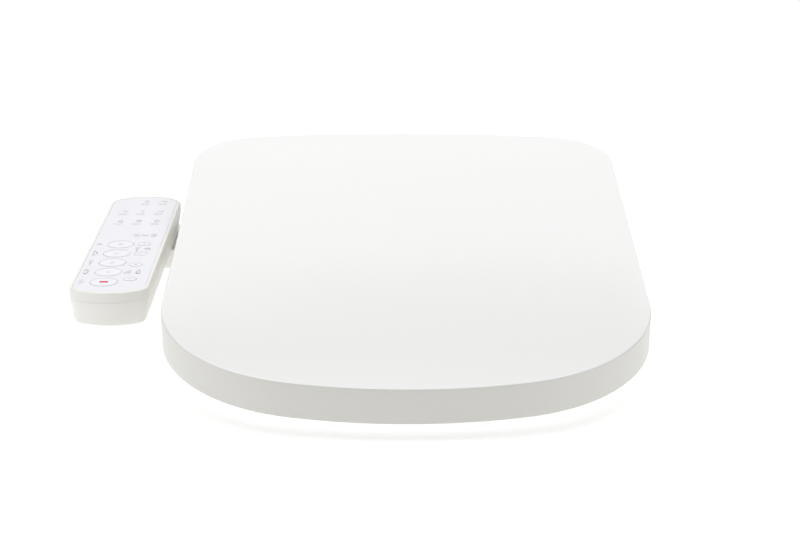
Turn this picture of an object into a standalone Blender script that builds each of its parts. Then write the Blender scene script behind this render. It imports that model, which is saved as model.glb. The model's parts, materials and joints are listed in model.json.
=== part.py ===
"""Electric bidet seat with a side control pad: a sloping one-piece lid over a heated seat ring, both hinged on
the rear housing, which holds the water works and a wash nozzle that slides out under the seat.

Frame: metres, +Z up, +Y to the rear. The origin is the middle of the mounting plate's underside, halfway
between the two fixing bolts, on the top of the toilet bowl. The control pad is at -X.
"""

import math

import bmesh
import bpy
from mathutils import Matrix, Vector

# ---------------------------------------------------------------- driving dimensions (metres, degrees)
GAP = 0.0003                  # between pieces that touch
FAR = 0.6                     # a cutter's reach past the whole seat
HANDS = (("left", 1), ("right", -1))  # of someone sitting on it

LID_WIDTH = 0.394
LID_LENGTH = 0.520            # along the slope
LID_SLOPE = math.radians(8.3)  # the rear is the high end
LID_FRONT_Y = -0.445
LID_FRONT_Z = 0.044           # top edge at the front
LID_SKIRT = 0.030
LID_TAIL = (0.450, 0.472)     # along the lid, where the skirt runs out
LID_LIP = 0.0055              # what is left of the skirt behind that
LID_WALL = 0.0035
LID_EAR = (0.152, 0.163)      # across, each side of the middle
LID_EAR_RADIUS = 0.011
LID_BUMPER_RADII = (0.0075, 0.006)  # at its root and at its foot
LID_BUMPERS = (("front", 0.118, -0.390), ("rear", 0.150, -0.140))
FRONT_RADIUS = 0.390
FRONT_CORNER_RADIUS = 0.138
REAR_RADIUS = 1.000
REAR_CORNER_RADIUS = 0.062

HINGE_Y = 0.021
HINGE_Z = 0.080
PIN_RADIUS = 0.004
PIN_HOLE_RADIUS = 0.0044
PIN_ENDS = (0.1403, 0.1835)
PIN_HEAD = (0.1815, 0.1840)
PIN_HEAD_RADIUS = 0.0065
DAMPER_ENDS = (0.060, 0.140)
DAMPER_RADIUS = 0.012

SEAT_INSET = 0.0120           # the ring's outline, in from the lid's
SEAT_SETBACK = 0.008          # of the ring's front behind the lid's, clear of the leaning skirt
SEAT_FRONT_Z = 0.034          # top of the ring below the lid's front edge
SEAT_RISE = math.radians(6.5)
SEAT_BOTTOM_Z = 0.014
SEAT_COVER_TOP_Z = 0.0165
SEAT_REAR_Y = -0.075
SEAT_WALL = 0.0035
SEAT_HOLE_Y = -0.250
SEAT_HOLE_HALF_WIDTH = 0.105
SEAT_HOLE_HALF_LENGTH = 0.135
SEAT_ARM = (0.166, 0.180)     # across, each side of the middle
SEAT_ARM_RADIUS = 0.012
SEAT_BUMPER_RADII = (0.0085, 0.010)  # at its foot and at its root
SEAT_BUMPERS = (("front", 0.125, -0.335), ("rear", 0.150, -0.130))
SHEET_INSET = 0.012           # of the heater sheet in from the ring's edges
SHEET_DEPTHS = (0.0004, 0.0012)  # its faces below the underside of the ring's top
SHEET_REAR_Y = -0.109
ARCH_HALF_WIDTH = 0.030       # the nozzle's way through the back of the ring
ARCH_FRONT_Y = -0.150
ARCH_Z = 0.038

BASE_FRONT_Y = -0.069
BASE_REAR_Y = 0.035
BASE_HALF_WIDTH = 0.186
BASE_BOTTOM_Z = 0.004
BASE_TOP_Z = 0.048
WALL = 0.003                  # of the base and its cover
LEDGE = 0.006                 # the rim round the base's mouth, which carries the cover
FOOT = (0.160, -0.045)
FOOT_RADIUS = 0.011
RECESS_HALF_WIDTH = 0.135     # the mounting plate's space in the underside
RECESS_FRONT_Y = -0.060
RECESS_TOP_Z = 0.0073
INLET = (0.163, 0.014)
INLET_RADIUS = 0.0068
INLET_HOLE_RADIUS = 0.0072
INLET_BORE_RADIUS = 0.0045
THREAD_RADIUS = 0.0078
THREAD_PITCH = 0.003
COLLAR_RADIUS = 0.0115
POCKET_MARGIN = 0.016         # of the inlet's pocket round the inlet
POCKET_TOP_Z = 0.026
PORT_HALF_WIDTH = 0.010       # the nozzle's way out of the base
PORT_HEIGHTS = (0.0110, 0.0350)
GLAND_X, GLAND_Z = -0.152, 0.0135
GLAND_RADIUS = 0.0052
GLAND_HOLE_RADIUS = 0.0055
GLAND_BORE_RADIUS = 0.0033
GLAND_RIM_RADII = (0.0075, 0.0062)  # at the wall and at its end

COVER_CLEARANCE = 0.0037      # below the underside of the closed lid
COVER_HALF_WIDTH = 0.163
COVER_REAR_HALF_WIDTH = 0.150  # between the hinge bays
COVER_REAR_Y = 0.0375
COVER_BACK_RADIUS = 0.0240    # about the hinge
BAY_FRONT_Y = -0.005

BUTTON_Y, BUTTON_Z = -0.035, 0.026
BUTTON_HALF_LENGTH = 0.011
BUTTON_HALF_HEIGHT = 0.007
BUTTON_FACE_X = 0.1885

PLATE_HALF_WIDTH = 0.132
PLATE_ENDS_Y = (-0.058, 0.034)
PLATE_THICKNESS = 0.005
BOLT_SPACING = 0.150
BOLT_HOLE_RADIUS = 0.005
WINDOW_HALF = (0.022, 0.018)  # in the plate, for the shoe to slide in
SHOE_HALF = (0.019, 0.0150)
SHOE_FLANGE_HALF = (0.026, 0.022)

NOZZLE_SLOPE = math.radians(33)
NOZZLE_TIP = Vector((0, -0.061, 0.026))
NOZZLE_LENGTH = 0.110
NOZZLE_RADIUS = 0.007
TIP_LENGTH = 0.018
NOSE_LENGTH = 0.0042
PINION_TEETH = 12
PINION_RADIUS = 0.0075        # at the pitch circle
PITCH = 2 * math.pi * PINION_RADIUS / PINION_TEETH
PINION_AT = 0.024             # along the nozzle from its tip
PINION_HALF_WIDTH = 0.0035
RACK_HALF_WIDTH = 0.003
RACK_HEIGHT = 0.008           # of the pitch line above the nozzle's axis
ADDENDUM = 0.0009
DEDENDUM = 0.0015
TOOTH_ROOT = 0.25             # half of a tooth's width at its root, in pitches
TOOTH_CREST = 0.06
MOTOR_RADIUS = 0.012
MOTOR_ENDS = (0.0125, 0.034)  # across, from the middle of the pinion

HEATER_LOW, HEATER_HIGH = (0.050, -0.060, 0.016), (0.130, 0.002, 0.056)
PUMP_Y, PUMP_Z = 0.012, 0.026
PUMP_RADIUS = 0.013
PUMP_HEAD_RADIUS = 0.010
PUMP_HEAD_END_X = 0.050
BOARD_LOW, BOARD_HIGH = (-0.155, -0.058, 0.0220), (-0.040, 0.010, 0.0236)
VALVE_LOW, VALVE_HIGH = (0.145, 0.002, 0.0293), (0.173, 0.024, 0.0400)
HOSE_RADIUS = 0.003

PAD_X = -0.244
PAD_HALF_WIDTH = 0.0328
PAD_FRONT_RADIUS = 0.050      # of the bowed ends; the rear one is the rounder
PAD_REAR_RADIUS = 0.038
PAD_CORNER_RADIUS = 0.016
PAD_FRONT_Y = -0.288
PAD_REAR_Y = 0.019
PAD_TOP_Z = 0.069
PAD_SPLIT_Z = 0.060
PAD_BOTTOM_Z = 0.039
PAD_DRAFT = 0.003             # how far the sides lean in at the bottom
PAD_ROLL = 0.0025             # radius of the bottom edge
PAD_CHAMFER = 0.0012          # of the top edge
PAD_WALL = 0.0025
PAD_DECK = (0.0655, 0.0673)   # heights of the wall under the face panel
PANEL = (0.0676, 0.0688)
PANEL_INSET = 0.0031
PAD_SCREWS_Y = (-0.255, -0.110)
PAD_SCREW_RADIUS = 0.0015
PAD_SCREW_HEAD_RADIUS = 0.0031
PAD_BOARD_HEIGHTS = (0.0587, 0.0603)
MAT_HEIGHTS = (0.0610, 0.0637)
KEY_BOTTOM_Z = 0.0648
KEY_TOP_Z = 0.0690
KEY_FLANGE = 0.0008           # its reach past the key's hole
KEY_FLANGE_TOP_Z = 0.0652
BIG_KEY_RADIUS = 0.0116
SMALL_KEY_RADIUS = 0.0055
BIG_KEY_X = PAD_X - 0.0057
SMALL_KEY_X = PAD_X + 0.015
BIG_KEYS = (("stop", -0.2575), ("rear_wash", -0.2295), ("front_wash", -0.202), ("dry", -0.1745),
            ("massage", -0.1465))
SMALL_KEYS = (("pressure_down", -0.249), ("pressure_up", -0.208), ("position_front", -0.175),
              ("position_rear", -0.145))
NECK_HEIGHTS = (0.020, PAD_BOTTOM_Z - GAP)

HINGE = Vector((0, HINGE_Y, HINGE_Z))
LID_FRAME = Matrix.Translation((0, LID_FRONT_Y, LID_FRONT_Z)) @ Matrix.Rotation(LID_SLOPE, 4, "X")
SEAT_FRAME = Matrix.Translation((0, LID_FRONT_Y, SEAT_FRONT_Z)) @ Matrix.Rotation(SEAT_RISE, 4, "X")
NOZZLE_FRAME = Matrix.Translation(NOZZLE_TIP) @ Matrix.Rotation(NOZZLE_SLOPE, 4, "X")
ALONG_X = Matrix(((0, 0, 1, 0), (1, 0, 0, 0), (0, 1, 0, 0), (0, 0, 0, 1)))  # a (y, z) outline pushed along X

# colour, roughness, metallic
MATERIALS = {
    "gloss_white": ((0.93, 0.93, 0.92), 0.18, 0.0),
    "seat_white": ((0.90, 0.90, 0.88), 0.25, 0.0),
    "housing_white": ((0.78, 0.78, 0.75), 0.35, 0.0),
    "pad_white": ((0.84, 0.83, 0.79), 0.30, 0.0),
    "panel_white": ((0.87, 0.87, 0.92), 0.25, 0.0),
    "key_white": ((0.84, 0.86, 0.90), 0.25, 0.0),
    "grey_rubber": ((0.35, 0.35, 0.35), 0.75, 0.0),
    "black_plastic": ((0.04, 0.04, 0.04), 0.5, 0.0),
    "grey_plastic": ((0.45, 0.46, 0.47), 0.45, 0.0),
    "steel": ((0.62, 0.62, 0.62), 0.3, 1.0),
    "brass": ((0.72, 0.56, 0.30), 0.3, 1.0),
    "board_green": ((0.05, 0.25, 0.12), 0.5, 0.0),
}


# ---------------------------------------------------------------- shared steps
def clear_scene():
    for obj in list(bpy.data.objects):
        bpy.data.objects.remove(obj, do_unlink=True)


def new_collection(name):
    made = bpy.data.collections.new(name)
    bpy.context.scene.collection.children.link(made)
    return made


def material(name):
    found = bpy.data.materials.get(name)
    if found:
        return found
    colour, roughness, metallic = MATERIALS[name]
    made = bpy.data.materials.new(name)
    made.use_nodes = True
    shader = made.node_tree.nodes["Principled BSDF"]
    shader.inputs["Base Color"].default_value = (*colour, 1)
    shader.inputs["Roughness"].default_value = roughness
    shader.inputs["Metallic"].default_value = metallic
    made.diffuse_color = (*colour, 1)
    return made


def arc(centre, radius, start, end, steps):
    """Points on an arc, angles in degrees, both ends included."""
    turns = [math.radians(start + (end - start) * i / steps) for i in range(steps + 1)]
    return [(centre[0] + radius * math.cos(t), centre[1] + radius * math.sin(t)) for t in turns]


def circle(centre, radius, steps=32):
    return arc(centre, radius, 0, 360, steps)[:-1]


def rounded(corners, steps=6):
    """A closed outline through (x, y, radius) corners, each rounded by an arc."""
    points = []
    for i, (x, y, radius) in enumerate(corners):
        here = Vector((x, y))
        back = (Vector(corners[i - 1][:2]) - here).normalized()
        ahead = (Vector(corners[(i + 1) % len(corners)][:2]) - here).normalized()
        if radius == 0:
            points.append((x, y))
            continue
        half = back.angle(ahead) / 2
        centre = here + (back + ahead).normalized() * radius / math.sin(half)
        first = here + back * radius / math.tan(half) - centre
        turn = (math.pi - 2 * half) * (1 if back.cross(ahead) < 0 else -1)
        for k in range(steps + 1):
            spoke = Matrix.Rotation(turn * k / steps, 2) @ first
            points.append(tuple(centre + spoke))
    return points


def rectangle(x0, x1, y0, y1, radius=0.0):
    return rounded([(x0, y0, radius), (x1, y0, radius), (x1, y1, radius), (x0, y1, radius)])


def prism(name, loops, low, high, frame=None):
    """A flat outline, with holes for the further loops, pushed from low to high along the frame's Z."""
    curve = bpy.data.curves.new(name, "CURVE")
    curve.dimensions = "2D"
    curve.fill_mode = "BOTH"
    curve.extrude = (high - low) / 2
    for loop in loops:
        spline = curve.splines.new("POLY")
        spline.points.add(len(loop) - 1)
        for point, (x, y) in zip(spline.points, loop):
            point.co = (x, y, 0, 1)
        spline.use_cyclic_u = True
    obj = bpy.data.objects.new(name, curve)
    obj.matrix_world = (frame or Matrix()) @ Matrix.Translation((0, 0, (low + high) / 2))
    return meshed(obj)


def meshed(curve_object):
    """The same shape as a mesh object whose caps are welded to its sides."""
    PARTS.objects.link(curve_object)
    bpy.context.view_layer.update()
    graph = bpy.context.evaluated_depsgraph_get()
    mesh = bpy.data.meshes.new_from_object(curve_object.evaluated_get(graph))
    mesh.transform(curve_object.matrix_world)
    name = curve_object.name
    bpy.data.objects.remove(curve_object, do_unlink=True)
    return mesh_object(name, mesh)


def mesh_object(name, mesh):
    work = bmesh.new()
    work.from_mesh(mesh)
    bmesh.ops.remove_doubles(work, verts=work.verts, dist=0.00001)
    bmesh.ops.recalc_face_normals(work, faces=work.faces)
    work.to_mesh(mesh)
    work.free()
    obj = bpy.data.objects.new(name, mesh)
    PARTS.objects.link(obj)
    return obj


def box(name, low, high, frame=None):
    """An axis-aligned block between two corners of the frame."""
    work = bmesh.new()
    bmesh.ops.create_cube(work, size=1.0)
    size = Vector(high) - Vector(low)
    middle = (Vector(high) + Vector(low)) / 2
    bmesh.ops.transform(
        work, verts=work.verts,
        matrix=(frame or Matrix()) @ Matrix.Translation(middle) @ Matrix.Diagonal((*size, 1)))
    mesh = bpy.data.meshes.new(name)
    work.to_mesh(mesh)
    work.free()
    return mesh_object(name, mesh)


def cylinder(name, start, end, radius, end_radius=None, steps=32):
    """A round bar or cone between two points."""
    start, end = Vector(start), Vector(end)
    axis = end - start
    work = bmesh.new()
    bmesh.ops.create_cone(
        work, cap_ends=True, segments=steps, radius1=radius,
        radius2=radius if end_radius is None else end_radius, depth=axis.length,
        matrix=Matrix.Translation((start + end) / 2) @ axis.to_track_quat("Z", "Y").to_matrix().to_4x4())
    mesh = bpy.data.meshes.new(name)
    work.to_mesh(mesh)
    work.free()
    return mesh_object(name, mesh)


def hinge_bar(name, x0, x1, radius, steps=24):
    """A round bar along the hinge's axis."""
    return cylinder(name, (x0, HINGE_Y, HINGE_Z), (x1, HINGE_Y, HINGE_Z), radius, steps=steps)


def span(side, edges):
    """The two edges as x values on one side of the middle, the smaller first."""
    return sorted(side * edge for edge in edges)


def tube(name, route, radius):
    """A round hose along a route of points."""
    curve = bpy.data.curves.new(name, "CURVE")
    curve.dimensions = "3D"
    curve.bevel_depth = radius
    curve.bevel_resolution = 2
    curve.use_fill_caps = True
    spline = curve.splines.new("POLY")
    spline.points.add(len(route) - 1)
    for point, place in zip(spline.points, route):
        point.co = (*place, 1)
    return meshed(bpy.data.objects.new(name, curve))


def helper(obj):
    """Moves a cutter or a shape to be joined out of the model's own collection."""
    PARTS.objects.unlink(obj)
    CUTTERS.objects.link(obj)
    obj.hide_render = True
    obj.display_type = "WIRE"
    return obj


def combine(obj, other, operation):
    modifier = obj.modifiers.new(f"{operation.lower()} {other.name}", "BOOLEAN")
    modifier.operation = operation
    modifier.solver = "EXACT"
    modifier.object = helper(other)
    return obj


def cut(obj, *others):
    for other in others:
        combine(obj, other, "DIFFERENCE")
    return obj


def join(obj, *others):
    for other in others:
        combine(obj, other, "UNION")
    return obj


def finish(obj, slot, origin=None):
    """Gives a piece its material, and its origin on its joint's axis where it moves."""
    obj.data.materials.clear()
    obj.data.materials.append(material(slot))
    if origin is not None:
        obj.data.transform(Matrix.Translation(-Vector(origin)))
        obj.location = origin
    obj.data.shade_smooth()
    obj.data.set_sharp_from_angle(angle=math.radians(35))
    return obj


# ---------------------------------------------------------------- outlines
def lid_outline(inset, steps=8):
    """The lid's plan: a wide front arc run into large corners, straight sides and a nearly flat rear."""
    corner = FRONT_CORNER_RADIUS
    corner_x = LID_WIDTH / 2 - corner
    corner_y = FRONT_RADIUS - math.sqrt((FRONT_RADIUS - corner) ** 2 - corner_x ** 2)
    meet_front = math.degrees(math.atan2(corner_y - FRONT_RADIUS, corner_x))
    rear_centre_y = LID_LENGTH - REAR_RADIUS
    rear_x = LID_WIDTH / 2 - REAR_CORNER_RADIUS
    rear_y = rear_centre_y + math.sqrt((REAR_RADIUS - REAR_CORNER_RADIUS) ** 2 - rear_x ** 2)
    meet_rear = math.degrees(math.atan2(rear_y - rear_centre_y, rear_x))
    right = arc((0, FRONT_RADIUS), FRONT_RADIUS - inset, -90, meet_front, 3)
    right += arc((corner_x, corner_y), corner - inset, meet_front, 0, steps)[1:]
    right += arc((rear_x, rear_y), REAR_CORNER_RADIUS - inset, 0, meet_rear, steps)
    right += arc((0, rear_centre_y), REAR_RADIUS - inset, meet_rear, 90, 3)[1:]
    return right + [(-x, y) for x, y in reversed(right[1:-1])]


def lid_underside_z(y, depth=LID_WALL):
    """Height at y of the plane that lies depth below the lid's top."""
    return LID_FRONT_Z + (y - LID_FRONT_Y) * math.tan(LID_SLOPE) - depth / math.cos(LID_SLOPE)


def seat_top_z(y):
    return SEAT_FRONT_Z + (y - LID_FRONT_Y) * math.tan(SEAT_RISE)


def seat_outline(inset):
    """The seat's plan: the lid's own outline drawn in, and moved back clear of the leaning skirt."""
    front = LID_FRONT_Y + SEAT_SETBACK
    return [(x, front + y * math.cos(LID_SLOPE)) for x, y in lid_outline(SEAT_INSET + inset)]


def seat_hole(grow, steps=40):
    wide, long = SEAT_HOLE_HALF_WIDTH + grow, SEAT_HOLE_HALF_LENGTH + grow
    turns = [2 * math.pi * i / steps for i in range(steps)]
    return [(wide * math.cos(t), SEAT_HOLE_Y + long * math.sin(t)) for t in turns]


def base_outline(inset):
    wide, front, rear = BASE_HALF_WIDTH - inset, BASE_FRONT_Y + inset, BASE_REAR_Y - inset
    return rounded([(-wide, front, 0.008), (wide, front, 0.008), (wide, rear, 0.020), (-wide, rear, 0.020)])


def cover_profile(inset, bottom):
    """Side view of the cover: its top runs parallel to the lid, and its back is round about the hinge."""
    depth = LID_WALL + COVER_CLEARANCE + inset
    front = BASE_FRONT_Y + inset
    back = arc((HINGE_Y, HINGE_Z), COVER_BACK_RADIUS - inset, -5, 90 + math.degrees(LID_SLOPE), 10)
    nose = [(front + 0.009, lid_underside_z(front + 0.009, depth)),
            (front + 0.003, lid_underside_z(front + 0.003, depth) - 0.002),
            (front, lid_underside_z(front, depth) - 0.008)]
    return [(COVER_REAR_Y - inset, bottom), *back, *nose, (front, bottom)]


def pad_end(radius):
    """How far in from a bowed end its corner's centre lies, and the angle where bow and corner meet."""
    corner_x = PAD_HALF_WIDTH - PAD_CORNER_RADIUS
    corner_y = radius - math.sqrt((radius - PAD_CORNER_RADIUS) ** 2 - corner_x ** 2)
    return corner_y, math.degrees(math.atan2(radius - corner_y, corner_x))


def pad_outline(inset, steps=7):
    """A long strip whose bowed ends run into tighter corners."""
    front_in, front_meet = pad_end(PAD_FRONT_RADIUS)
    rear_in, rear_meet = pad_end(PAD_REAR_RADIUS)
    corner, corner_x = PAD_CORNER_RADIUS - inset, PAD_X + PAD_HALF_WIDTH - PAD_CORNER_RADIUS
    half = arc((PAD_X, PAD_FRONT_Y + PAD_FRONT_RADIUS), PAD_FRONT_RADIUS - inset, -90, -front_meet, 3)
    half += arc((corner_x, PAD_FRONT_Y + front_in), corner, -front_meet, 0, steps)[1:]
    half += arc((corner_x, PAD_REAR_Y - rear_in), corner, 0, rear_meet, steps)
    half += arc((PAD_X, PAD_REAR_Y - PAD_REAR_RADIUS), PAD_REAR_RADIUS - inset, rear_meet, 90, 3)[1:]
    return half + [(2 * PAD_X - x, y) for x, y in reversed(half[1:-1])]


def pad_loft(name, sections):
    """A solid through the pad's outline drawn in by each (inset, height) in turn, from the bottom up."""
    work = bmesh.new()
    loops = [[work.verts.new((x, y, z)) for x, y in pad_outline(inset)] for inset, z in sections]
    for lower, upper in zip(loops, loops[1:]):
        for i in range(len(lower)):
            work.faces.new((lower[i - 1], lower[i], upper[i], upper[i - 1]))
    work.faces.new(loops[0])
    work.faces.new(loops[-1])
    mesh = bpy.data.meshes.new(name)
    work.to_mesh(mesh)
    work.free()
    return mesh_object(name, mesh)


# ---------------------------------------------------------------- lid
def make_lid():
    lid = prism("lid_shell", [lid_outline(0)], -LID_SKIRT, 0, LID_FRAME)
    hollow = prism("lid_hollow", [lid_outline(LID_WALL)], -FAR, -LID_WALL, LID_FRAME)
    start, end = LID_TAIL
    tail = [(start, -LID_SKIRT - GAP), (end, -LID_LIP), (FAR, -LID_LIP), (FAR, -FAR), (start, -FAR)]
    cut(lid, hollow, prism("lid_tail_trim", [tail], -FAR, FAR, LID_FRAME @ ALONG_X))
    for hand, side in HANDS:
        ear = arc((HINGE_Y, HINGE_Z), LID_EAR_RADIUS, 0, -180, 10)
        root = (HINGE_Y - 0.018, HINGE_Y + LID_EAR_RADIUS)
        ear += [(y, lid_underside_z(y, LID_WALL / 2)) for y in root]
        join(lid, prism(f"lid_ear_{hand}", [ear], *span(side, LID_EAR), ALONG_X))
    cut(lid, hinge_bar("lid_pin_hole", -0.17, 0.17, PIN_HOLE_RADIUS))
    finish(lid, "gloss_white", HINGE)
    for end, x, y in LID_BUMPERS:
        height = (lid_underside_z(y) - seat_top_z(y)) * math.cos(LID_SLOPE) - 0.0012
        along = (y - LID_FRONT_Y) / math.cos(LID_SLOPE)
        for hand, side in HANDS:
            top = LID_FRAME @ Vector((side * x, along, -LID_WALL - GAP))
            foot = LID_FRAME @ Vector((side * x, along, -LID_WALL - GAP - height))
            bumper = cylinder(f"lid_bumper_{end}_{hand}", top, foot, *LID_BUMPER_RADII, 20)
            finish(bumper, "grey_rubber", HINGE)


# ---------------------------------------------------------------- seat ring
def seat_slice(name, inset, low, drop):
    """The ring between low and the plane that lies drop below its sloping top, drawn in by inset."""
    ring = prism(name, [seat_outline(inset), seat_hole(inset)], low, 0.12)
    above = box(name + "_above", (-FAR, -FAR, -drop), (FAR, FAR, FAR), SEAT_FRAME)
    return cut(ring, above, box(name + "_behind", (-FAR, SEAT_REAR_Y - inset, -FAR), (FAR, FAR, FAR)))


def arch(name, grow):
    """The nozzle's way through the back of the ring, made larger by grow."""
    wide = ARCH_HALF_WIDTH + grow
    return box(name, (-wide, ARCH_FRONT_Y, -FAR), (wide, FAR, ARCH_Z + grow))


def make_seat():
    top = seat_slice("seat_top_shell", 0, SEAT_COVER_TOP_Z + GAP, 0)
    hollow = seat_slice("seat_hollow", SEAT_WALL, -0.01, SEAT_WALL)
    cut(top, cut(hollow, arch("seat_arch_wall", SEAT_WALL)))
    for hand, side in HANDS:
        arm = arc((HINGE_Y, HINGE_Z), SEAT_ARM_RADIUS, -90, 95, 12)
        arm += [(-0.078, 0.0740), (-0.095, 0.0700), (-0.095, 0.0550), (-0.078, 0.0530), (-0.055, 0.0540)]
        join(top, prism(f"seat_arm_{hand}", [arm], *span(side, SEAT_ARM), ALONG_X))
    cut(top, arch("seat_arch", 0), hinge_bar("seat_pin_hole", -0.2, 0.2, PIN_HOLE_RADIUS))
    finish(top, "seat_white", HINGE)

    cover = prism("seat_bottom_cover", [seat_outline(0), seat_hole(0)], SEAT_BOTTOM_Z, SEAT_COVER_TOP_Z)
    cut(cover, box("seat_cover_rear", (-FAR, SEAT_REAR_Y, -FAR), (FAR, FAR, FAR)), arch("seat_cover_gate", 0))
    finish(cover, "seat_white", HINGE)

    upper, lower = SHEET_DEPTHS
    sheet = seat_slice("seat_heater_sheet", SHEET_INSET, -0.01, SEAT_WALL + upper)
    below = box("seat_heater_below", (-FAR, -FAR, -FAR), (FAR, FAR, -SEAT_WALL - lower), SEAT_FRAME)
    behind = box("seat_heater_rear", (-FAR, SHEET_REAR_Y, -FAR), (FAR, FAR, FAR))
    finish(cut(sheet, below, behind), "steel", HINGE)

    for end, x, y in SEAT_BUMPERS:
        for hand, side in HANDS:
            foot, top = (side * x, y, 0), (side * x, y, SEAT_BOTTOM_Z - GAP)
            bumper = cylinder(f"seat_bumper_{end}_{hand}", foot, top, *SEAT_BUMPER_RADII, 20)
            finish(bumper, "grey_rubber", HINGE)


# ---------------------------------------------------------------- rear housing
def recess(name, grow):
    """The mounting plate's space, made larger by grow."""
    wide = RECESS_HALF_WIDTH + grow
    return box(name, (-wide, RECESS_FRONT_Y - grow, -FAR), (wide, FAR, RECESS_TOP_Z + grow))


def inlet_pocket(name, grow):
    """The space round the water inlet, open below, behind and beside, made larger by grow."""
    margin = POCKET_MARGIN + grow
    return box(name, (INLET[0] - margin, INLET[1] - margin, -FAR), (FAR, FAR, POCKET_TOP_Z + grow))


def button_block(name, x0, x1, grow=0.0):
    """A block round the release button's axis, made larger than the button by grow."""
    long, tall = BUTTON_HALF_LENGTH + grow, BUTTON_HALF_HEIGHT + grow
    return box(name, (x0, BUTTON_Y - long, BUTTON_Z - tall), (x1, BUTTON_Y + long, BUTTON_Z + tall))


def make_base():
    base = prism("housing_base", [base_outline(0)], BASE_BOTTOM_Z, BASE_TOP_Z)
    hollow = prism("base_hollow", [base_outline(WALL)], BASE_BOTTOM_Z + WALL, BASE_TOP_Z - WALL)
    cut(hollow, recess("base_recess_wall", WALL), inlet_pocket("base_inlet_wall", WALL))
    front_half = COVER_HALF_WIDTH - LEDGE
    rear_half = COVER_REAR_HALF_WIDTH - LEDGE
    mouth_z = BASE_TOP_Z - 0.008
    x, y = INLET
    cut(base, hollow, recess("base_recess", 0), inlet_pocket("base_inlet_pocket", 0),
        box("base_mouth", (-front_half, BASE_FRONT_Y + LEDGE, mouth_z),
            (front_half, BAY_FRONT_Y - LEDGE, FAR)),
        box("base_mouth_rear", (-rear_half, BAY_FRONT_Y - 0.010, mouth_z),
            (rear_half, BASE_REAR_Y - LEDGE, FAR)),
        box("base_nozzle_port", (-PORT_HALF_WIDTH, -0.08, PORT_HEIGHTS[0]),
            (PORT_HALF_WIDTH, BASE_FRONT_Y + 0.005, PORT_HEIGHTS[1])),
        cylinder("base_inlet_hole", (x, y, 0.02), (x, y, 0.04), INLET_HOLE_RADIUS, steps=24),
        cylinder("base_gland_hole", (GLAND_X, 0.02, GLAND_Z), (GLAND_X, 0.05, GLAND_Z), GLAND_HOLE_RADIUS,
                 steps=24),
        button_block("base_release_hole", 0.17, 0.2, 0.0005))
    finish(base, "housing_white")
    for hand, side in HANDS:
        x, y = side * FOOT[0], FOOT[1]
        foot = cylinder(f"foot_{hand}", (x, y, 0), (x, y, BASE_BOTTOM_Z - GAP), FOOT_RADIUS, steps=20)
        finish(foot, "grey_rubber")


def make_cover():
    wide = COVER_HALF_WIDTH
    cover = prism("housing_cover", [cover_profile(0, BASE_TOP_Z + GAP)], -wide, wide, ALONG_X)
    hollow = prism("cover_hollow", [cover_profile(WALL, 0.02)], WALL - wide, wide - WALL, ALONG_X)
    for hand, side in HANDS:
        x0, x1 = span(side, (COVER_REAR_HALF_WIDTH, FAR))
        cut(cover, box(f"cover_bay_{hand}", (x0, BAY_FRONT_Y, -FAR), (x1, FAR, FAR)))
        x0, x1 = span(side, (COVER_REAR_HALF_WIDTH - WALL, FAR))
        cut(hollow, box(f"cover_bay_wall_{hand}", (x0, BAY_FRONT_Y - WALL, -FAR), (x1, FAR, FAR)))
    cut(cover, hollow, hinge_bar("cover_pin_hole", -0.2, 0.2, PIN_HOLE_RADIUS))
    finish(cover, "housing_white")


def make_hinge_works():
    for hand, side in HANDS:
        pin = hinge_bar(f"hinge_pin_{hand}", *span(side, PIN_ENDS), PIN_RADIUS)
        head = hinge_bar(f"pin_head_{hand}", *span(side, PIN_HEAD), PIN_HEAD_RADIUS)
        finish(join(pin, head), "steel")
        finish(hinge_bar(f"damper_{hand}", *span(side, DAMPER_ENDS), DAMPER_RADIUS, 32), "black_plastic")


def make_release_button():
    key = button_block("release_button", 0.1770, BUTTON_FACE_X)
    flange = button_block("release_flange", 0.1745, 0.1800, 0.0022)
    finish(join(key, flange), "grey_plastic", (BUTTON_FACE_X, BUTTON_Y, BUTTON_Z))


def block_outline(x, half, radius):
    """A rounded rectangle about a bolt at x, from its half width and half length."""
    return rectangle(x - half[0], x + half[0], -half[1], half[1], radius)


def make_mounting_plate():
    outline = rectangle(-PLATE_HALF_WIDTH, PLATE_HALF_WIDTH, *PLATE_ENDS_Y, 0.010)
    windows = [block_outline(side * BOLT_SPACING / 2, WINDOW_HALF, 0.003) for _, side in HANDS]
    finish(prism("mounting_plate", [outline, *windows], 0, PLATE_THICKNESS), "grey_plastic")
    for hand, side in HANDS:
        x = side * BOLT_SPACING / 2
        hole = circle((x, 0), BOLT_HOLE_RADIUS, 24)
        shoe = prism(f"bolt_shoe_{hand}", [block_outline(x, SHOE_HALF, 0.002), hole], 0.0008, 0.0060)
        flange = prism(f"shoe_flange_{hand}", [block_outline(x, SHOE_FLANGE_HALF, 0.002), hole],
                       PLATE_THICKNESS + GAP, RECESS_TOP_Z - 0.0004)
        finish(join(shoe, flange), "grey_plastic")


# ---------------------------------------------------------------- wash nozzle and its drive
def on_nozzle(along, up=0.0, x=0.0):
    return NOZZLE_FRAME @ Vector((x, along, up))


def rack_outline():
    """Side view of the rack, its teeth up, with a tooth facing the middle of the pinion."""
    root, crest = RACK_HEIGHT - DEDENDUM, RACK_HEIGHT + ADDENDUM
    points = []
    for i in range(-1, int((NOZZLE_LENGTH - PINION_AT) / PITCH)):
        middle = PINION_AT + i * PITCH
        points += [(middle - TOOTH_ROOT * PITCH, root), (middle - TOOTH_CREST * PITCH, crest),
                   (middle + TOOTH_CREST * PITCH, crest), (middle + TOOTH_ROOT * PITCH, root)]
    start, end = points[0][0], points[-1][0] + 0.001
    inside_tube = NOZZLE_RADIUS - RACK_HALF_WIDTH
    return points + [(end, root), (end, inside_tube), (start, inside_tube)]


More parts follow.
